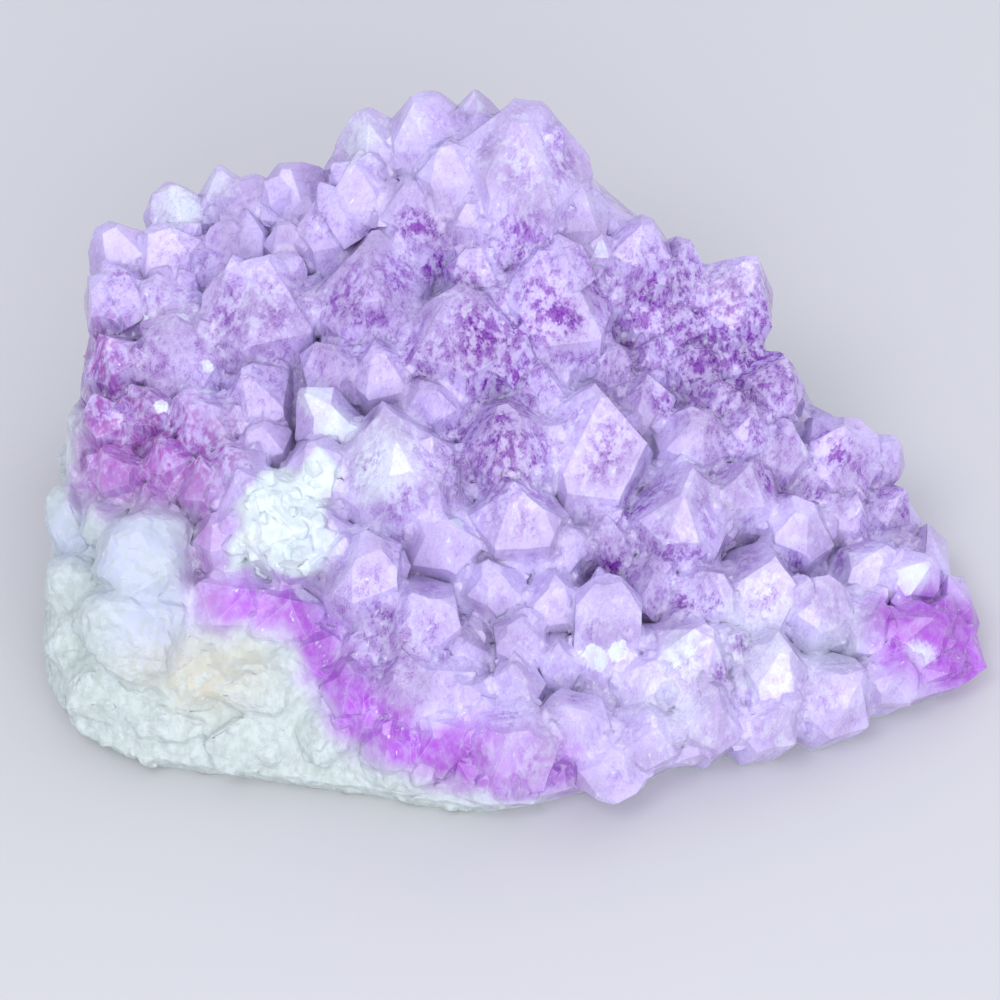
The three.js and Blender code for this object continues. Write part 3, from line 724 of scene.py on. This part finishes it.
def patch_at(points, corners, soft):
    """From 0 outside a patch of the reading plane to 1 inside, over a wavering border."""
    at = readings(points) + BORDER_WAVER * waver(points, BORDER_WAVE)
    ends = np.array(corners, dtype=float)
    inside = np.zeros(len(at), dtype=bool)
    border = np.full(len(at), np.inf)
    for a, b in zip(ends, np.roll(ends, -1, axis=0)):
        along = b - a
        share = np.clip((at - a) @ along / (along @ along), 0, 1)
        border = np.minimum(border, np.linalg.norm(at - a - share[:, None] * along, axis=1))
        crosses = (a[1] > at[:, 1]) != (b[1] > at[:, 1])
        with np.errstate(divide="ignore", invalid="ignore"):
            left = at[:, 0] < a[0] + (at[:, 1] - a[1]) * along[0] / along[1]
        inside ^= crosses & left
    depth = np.where(inside, border, -border)
    return np.clip(0.5 + depth / (2 * soft), 0, 1)


def massive_at(points, soft=MASSIVE_BORDER):
    """How much each point belongs to the massive quartz: its patch, the back's foot and the lowest rim."""
    patch = patch_at(points, MASSIVE, soft)
    uneven = np.array([noise.fractal(Vector(p) / FOOT_WAVE, *FOOT_FRACTAL) for p in points]) * FOOT_WAVER
    behind = np.clip((points[:, 1] - BEHIND) / BEHIND_FADE, 0, 1)
    foot = np.clip((FOOT + uneven - points[:, 2]) / FOOT_FADE, 0, 1)
    rim = np.clip((RIM + RIM_BEHIND * behind - points[:, 2]) / RIM_FADE, 0, 1)
    return np.maximum(patch, np.maximum(behind * foot, rim))


ON_FACE = 0.05 * MM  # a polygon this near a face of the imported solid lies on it
ALONG_FACE = 0.98


def pane_of(index):
    """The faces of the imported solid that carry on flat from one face, and that face itself."""
    pane = {index}
    border = [index]
    while border:
        face = cad_mesh.faces[border.pop()]
        for edge in face.edges:
            for other in edge.link_faces:
                if other.index not in pane and other.normal.angle(face.normal) < FLAT:
                    pane.add(other.index)
                    border.append(other.index)
    return pane


def pane_light(mesh):
    """How brightly each polygon is painted, as pale face or painted glint, by the crystal faces that are
    picked out, from 0 to 1.
    """
    panes = []
    for across, up, _, strength in PANES:
        _, _, index = read(across, up)
        panes.append((pane_of(index), strength))
    light = np.zeros(len(mesh.polygons))
    for i, polygon in enumerate(mesh.polygons):
        _, normal, index, away = cad_tree.find_nearest(polygon.center)
        if away > ON_FACE or normal.dot(polygon.normal) < ALONG_FACE:
            continue
        light[i] = max((strength for pane, strength in panes if index in pane), default=0)
    return light


CREST_STEP = 0.4 * MM


def face_depth(points):
    """How far each point lies from the nearest crystal edge, in metres."""
    spots = []
    for edge in cad_mesh.edges:
        if len(edge.link_faces) == 2 and edge.calc_face_angle_signed() > CONVEX:
            a, b = (v.co for v in edge.verts)
            steps = max(1, round((b - a).length / CREST_STEP))
            spots += [a.lerp(b, (i + 0.5) / steps) for i in range(steps)]
    tree = KDTree(len(spots))
    for i, spot in enumerate(spots):
        tree.insert(spot, i)
    tree.balance()
    return np.array([tree.find(p)[2] for p in points])


def set_value(mesh, name, values, domain="POINT"):
    layer = mesh.attributes.new(name, "FLOAT", domain)
    layer.data.foreach_set("value", np.clip(values, 0, 1).astype(np.float32))


# ---- The material ----
LAVENDER = (0.60, 0.47, 0.92, 1)
LILAC = (0.56, 0.38, 0.82, 1)
# Milky quartz, and also the colour of the painted light in the seams and of the painted highlights near the
# edges.
MILKY_AND_LIT = (0.78, 0.74, 0.99, 1)
DEEP = (0.28, 0.07, 0.50, 1)
VIOLET = (0.13, 0.005, 0.30, 1)
MAGENTA = (0.47, 0.09, 0.73, 1)
ROSE = (0.48, 0.17, 0.60, 1)
WINE = (0.34, 0.06, 0.42, 1)
GREY = (0.49, 0.56, 0.54, 1)
SNOW = (0.59, 0.67, 0.66, 1)
# Also the colour of the painted glints on the picked faces.
BRIGHT = (0.80, 0.90, 0.95, 1)
FROST = (0.53, 0.57, 0.76, 1)
IVORY = (0.62, 0.56, 0.40, 1)
# Colour of the painted highlight along the crystal edges.
EDGE = (0.84, 0.83, 0.99, 1)

IOR = 1.544
ABSORPTION_COLOUR = (0.8, 0.55, 0.93, 1)
ABSORPTION_DENSITY = 20
LEAST_CLEAR = 0.06  # transmission of the milkiest and of the clearest druse
MOST_CLEAR = 0.22
CRYSTAL_ROUGHNESS = 0.15
MASSIVE_ROUGHNESS = 0.45
CREST_RADIUS = 0.22 * MM
MOTTLE_SIZE = 1.1 * MM
STREAK_SIZE = 0.8 * MM
STREAK_STRETCH = 7
WISP_SIZE = 0.9 * MM
WISP_BEND = 1.5 * MM
GRAIN_STRETCH = 2.0  # how much longer all other noise is upwards
NOISE_ROUGHNESS = 0.7
# The hollow share is painted light in the seams, the rim and crest shares painted edge highlights, the hollow
# depth share painted shade.
HOLLOW_SHARE = 0.75  # how strongly each thing colours the quartz
CLOUDED_SHARE = 0.75
HAZE_SHARE = 0.5
RIM_SHARE = 0.4
HOLLOW_DEPTH_SHARE = 0.08
CORE_DEPTH_SHARE = 0.45
DARK_DEPTH_SHARE = 1.1
FLECK_SHARE = 0.8
CREST_SHARE = 0.5
GLEAM_MOTTLE = 0.8


def quartz():
    material = bpy.data.materials.new("amethyst_quartz")
    material.use_nodes = True
    tree = material.node_tree
    shader = tree.nodes["Principled BSDF"]

    def node(kind, **settings):
        made = tree.nodes.new(kind)
        for name, value in settings.items():
            setattr(made, name, value)
        return made

    def join(value, socket):
        if hasattr(value, "is_output"):
            tree.links.new(value, socket)
        else:
            socket.default_value = value

    def value_of(name):
        return node("ShaderNodeAttribute", attribute_name=name).outputs["Fac"]

    def math_of(operation, *values, clamp=False):
        made = node("ShaderNodeMath", operation=operation, use_clamp=clamp)
        for value, socket in zip(values, made.inputs):
            join(value, socket)
        return made.outputs[0]

    def ramp(value, low, high, to_low=0.0, to_high=1.0):
        made = node("ShaderNodeMapRange", interpolation_type="SMOOTHSTEP")
        join(value, made.inputs["Value"])
        for name, number in (("From Min", low), ("From Max", high), ("To Min", to_low), ("To Max", to_high)):
            made.inputs[name].default_value = number
        return made.outputs["Result"]

    def blend(share, a, b):
        made = node("ShaderNodeMix", data_type="RGBA")
        join(share, made.inputs["Factor"])
        join(a, made.inputs["A"])
        join(b, made.inputs["B"])
        return made.outputs["Result"]

    place = node("ShaderNodeTexCoord").outputs["Object"]

    def rough_noise(place, size, detail, seed, stretch=GRAIN_STRETCH):
        mapping = node("ShaderNodeMapping")
        mapping.inputs["Location"].default_value = (seed, seed * 0.7, seed * 1.3)
        mapping.inputs["Scale"].default_value = (1 / size, 1 / size, 1 / (size * stretch))
        tree.links.new(place, mapping.inputs["Vector"])
        made = node("ShaderNodeTexNoise")
        made.inputs["Scale"].default_value = 1
        made.inputs["Detail"].default_value = detail
        made.inputs["Roughness"].default_value = NOISE_ROUGHNESS
        tree.links.new(mapping.outputs["Vector"], made.inputs["Vector"])
        return made.outputs["Fac"]

    grainy = value_of("massive")
    dark = value_of("dark")
    hollow = value_of("hollow")
    core = value_of("core")

    # The bevel finds the crystal edges, where a painted highlight goes; its normal also rounds their shading.
    bevel = node("ShaderNodeBevel", samples=2)
    bevel.inputs["Radius"].default_value = CREST_RADIUS
    face_normal = node("ShaderNodeNewGeometry").outputs["Normal"]
    turned = node("ShaderNodeVectorMath", operation="DOT_PRODUCT")
    join(bevel.outputs["Normal"], turned.inputs[0])
    join(face_normal, turned.inputs[1])
    crest = ramp(turned.outputs["Value"], 0.90, 0.995, 1, 0)

    cloud = value_of("cloud")
    mottle = rough_noise(place, MOTTLE_SIZE, 2, 3)
    streaks = rough_noise(place, STREAK_SIZE, 1, 11, STREAK_STRETCH)
    bent = node("ShaderNodeVectorMath", operation="MULTIPLY_ADD")
    join(mottle, bent.inputs[0])
    bent.inputs[1].default_value = (WISP_BEND, WISP_BEND, WISP_BEND)
    join(place, bent.inputs[2])
    wisp = rough_noise(bent.outputs["Vector"], WISP_SIZE, 2, 7)
    strands = ramp(math_of("ABSOLUTE", math_of("SUBTRACT", wisp, 0.5)), 0.0, 0.05, 1, 0)

    # gleam and pane mark the picked faces for pale tints and painted glints.
    gleam = math_of("ADD", value_of("gleam"), math_of("MULTIPLY", mottle, GLEAM_MOTTLE))
    pane = math_of("MULTIPLY", value_of("pane"), ramp(gleam, 0.65, 0.9))

    colour = blend(ramp(cloud, 0.35, 0.65), LAVENDER, LILAC)
    # Painted light: the seams are lightened to offset the shade that falls in them.
    colour = blend(math_of("MULTIPLY", hollow, HOLLOW_SHARE), colour, MILKY_AND_LIT)
    clouded = value_of("clouded")
    haze = math_of("MULTIPLY", ramp(mottle, 0.46, 0.66), HAZE_SHARE)
    veil = math_of("MULTIPLY_ADD", clouded, CLOUDED_SHARE, haze, clamp=True)
    # Painted highlight: paler towards the crystal edges.
    rim = ramp(core, 0, 1, RIM_SHARE, 0)
    colour = blend(math_of("MAXIMUM", veil, rim), colour, MILKY_AND_LIT)
    colour = blend(ramp(clouded, 0.5, 1.0, 0.0, 0.6), colour, BRIGHT)
    # Deeper violet from the dark cores and towards the faces' middles, plus a little painted shade in the
    # seams.
    depth = math_of("MULTIPLY_ADD", hollow, HOLLOW_DEPTH_SHARE, math_of("MULTIPLY", core, CORE_DEPTH_SHARE))
    depth = math_of("MULTIPLY_ADD", dark, DARK_DEPTH_SHARE, depth)
    depth = math_of("MULTIPLY", depth, ramp(mottle, 0.38, 0.6, 1.0, 0.12), clamp=True)
    colour = blend(depth, colour, DEEP)
    streak = math_of("MULTIPLY", strands, math_of("MULTIPLY_ADD", depth, 0.85, 0.16), clamp=True)
    colour = blend(streak, colour, VIOLET)
    wine = math_of("MULTIPLY", value_of("streaked"), ramp(streaks, 0.42, 0.68, 0.1, 0.9))
    colour = blend(wine, colour, WINE)
    band = math_of("MULTIPLY", value_of("band"), ramp(mottle, 0.3, 0.7, 1.0, 0.65))
    band = math_of("MULTIPLY", band, ramp(clouded, 0.2, 1.0, 1.0, 0.4))
    colour = blend(band, colour, MAGENTA)
    pink = math_of("MULTIPLY", value_of("pink"), ramp(mottle, 0.3, 0.7, 0.85, 0.3))
    colour = blend(pink, colour, ROSE)
    stone = blend(ramp(mottle, 0.35, 0.65), GREY, SNOW)
    stone = blend(math_of("MULTIPLY", clouded, ramp(mottle, 0.3, 0.6, 0.5, 1.0)), stone, FROST)
    stone = blend(math_of("MULTIPLY", value_of("cream"), ramp(wisp, 0.35, 0.65, 0.3, 0.8)), stone, IVORY)
    stone = blend(math_of("MULTIPLY", value_of("opaque"), ramp(mottle, 0.4, 0.6, 0.9, 0.4)), stone, BRIGHT)
    # Pale faces and painted glints: the picked faces are whitened.
    colour = blend(math_of("MULTIPLY", pane, ramp(wisp, 0.4, 0.6, 0.55, 1.0)), colour, BRIGHT)
    flecks = ramp(wisp, 0.68, 0.74)
    colour = blend(math_of("MULTIPLY", flecks, FLECK_SHARE), colour, BRIGHT)
    colour = blend(ramp(grainy, 0.1, 0.9), colour, stone)
    # Painted highlight along the crystal edges.
    colour = blend(math_of("MULTIPLY", crest, CREST_SHARE), colour, EDGE)
    join(colour, shader.inputs["Base Color"])
    join(bevel.outputs["Normal"], shader.inputs["Normal"])

    clear = ramp(math_of("MAXIMUM", grainy, pane), 0.2, 0.9, 1, 0)
    clear = math_of("MULTIPLY", clear, ramp(cloud, 0.3, 0.7, LEAST_CLEAR, MOST_CLEAR))
    join(clear, shader.inputs["Transmission Weight"])
    join(ramp(grainy, 0.2, 0.8, CRYSTAL_ROUGHNESS, MASSIVE_ROUGHNESS), shader.inputs["Roughness"])
    shader.inputs["IOR"].default_value = IOR

    absorb = node("ShaderNodeVolumeAbsorption")
    absorb.inputs["Color"].default_value = ABSORPTION_COLOUR
    absorb.inputs["Density"].default_value = ABSORPTION_DENSITY
    output = tree.nodes["Material Output"]
    tree.links.new(absorb.outputs["Volume"], output.inputs["Volume"])
    return material


# ---- The dressed cluster ----
ROUNDING_ROUNDS = 3  # of smoothing
ROUNDING_START = 0.6 * MM  # rounding sets in above the rim
ROUNDING_FADE = 2 * MM
LUMP_SIZE = 2.6 * MM
LUMP_FRACTAL = (0.7, 2, 3)
LUMP_HEIGHT = 0.34  # heights of lumps, grain and swells are in millimetres
GRAIN_SIZE = 0.8 * MM
GRAIN_HEIGHT = 0.2
SWELL_SIZE = 2.8 * MM
SWELL_HEIGHT = 0.2
LEAST_LUMPY = 0.02
WIDE_ROUNDS = 30  # of smoothing, which spread over about a seam's width
HOLLOW_DEPTH = 1.2 * MM  # a point this far below its smoothed surroundings lies in a seam
FILL_PASSES = 2
FILL_SHARE = 0.5
CLOUD_SIZE = 5 * MM
CLOUD_SWING = 0.4
CORE_START = 0.8 * MM  # from a crystal's edge to where its core begins
CORE_WIDTH = 2.2 * MM
SHARP_ANGLE = math.radians(16)


def lump_at(point):
    """How high the lumps and the grain of massive quartz stand at a point, in millimetres."""
    lump = noise.fractal(point / LUMP_SIZE, *LUMP_FRACTAL)
    return lump * LUMP_HEIGHT + noise.noise(point / GRAIN_SIZE) * GRAIN_HEIGHT


def weathered(points, pairs, out, round_share, lump_share):
    """Massive quartz is rounded off and gets lumps, the druse soft swells. The underside stays flat."""
    raised = points[:, 2] > FLOOR_BAND
    share = lump_share * raised
    soft = smoothed(points, pairs, ROUNDING_ROUNDS)
    high = np.clip((points[:, 2] - ROUNDING_START) / ROUNDING_FADE, 0, 1)
    rounded = points + (soft - points) * (round_share * high)[:, None]
    lumps = np.array([lump_at(Vector(p)) if s > LEAST_LUMPY else 0 for p, s in zip(points, share)])
    swells = np.array([noise.noise(Vector(p) / SWELL_SIZE) * SWELL_HEIGHT for p in points]) * raised
    return rounded + out * ((lumps * share + swells * (1 - share)) * MM)[:, None]


def hollow_at(points, far, out):
    """How deep each point lies in a seam, from 1 where it counts as one to below 0 on ridges."""
    return np.einsum("ij,ij->i", far - points, out) / HOLLOW_DEPTH


def filled(mesh, points, pairs):
    """The points with the seams between crystals partly filled in."""
    out = normals(mesh)
    for _ in range(FILL_PASSES):
        far = smoothed(points, pairs, WIDE_ROUNDS)
        fill = np.clip(hollow_at(points, far, out), 0, 1) * FILL_SHARE * (points[:, 2] > FLOOR_BAND)
        points = points + (far - points) * fill[:, None]
    return points


def dressed_cluster():
    mesh = grown_skin()
    pairs = edges(mesh)
    points = coords(mesh)
    massive = massive_at(points)
    lumpy = np.maximum(massive, patch_at(points, OPAQUE, OPAQUE_BORDER))
    set_value(mesh, "pane", pane_light(mesh), "FACE")
    points = filled(mesh, weathered(points, pairs, normals(mesh), massive, lumpy), pairs)
    low, high = (np.array(c) for c in CAD_BOX)
    points = np.clip(points, low, high)
    mesh.vertices.foreach_set("co", points.ravel())
    mesh.update()

    set_value(mesh, "hollow", hollow_at(points, smoothed(points, pairs, WIDE_ROUNDS), normals(mesh)))
    opaque = patch_at(points, OPAQUE, OPAQUE_BORDER)
    set_value(mesh, "opaque", opaque)
    set_value(mesh, "massive", np.maximum(massive_at(points, MASSIVE_FADE), opaque))
    wide = np.array([noise.noise(Vector(p) / CLOUD_SIZE) for p in points])
    set_value(mesh, "cloud", 0.5 + CLOUD_SWING * wide)
    set_value(mesh, "core", (face_depth(points) - CORE_START) / CORE_WIDTH)
    for name, rows in (("dark", DARK), ("clouded", CLOUDED), ("cream", CREAM), ("gleam", PANES)):
        set_value(mesh, name, strength_at(points, placed(rows)))
    band = np.maximum(patch_at(points, BAND, BAND_BORDER), patch_at(points, TIP, BAND_BORDER))
    set_value(mesh, "band", band)
    set_value(mesh, "pink", patch_at(points, PINK, PINK_BORDER))
    set_value(mesh, "streaked", patch_at(points, STREAKED, STREAKED_BORDER))

    mesh.shade_smooth()
    mesh.set_sharp_from_angle(angle=SHARP_ANGLE)
    mesh.materials.clear()
    mesh.materials.append(quartz())
    piece = bpy.data.objects.new("amethyst_cluster_skin", mesh)
    bpy.context.scene.collection.objects.link(piece)
    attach(piece, "root")
    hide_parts(NODE)


add_camera()
add_studio()
dressed_cluster()
cad_mesh.free()
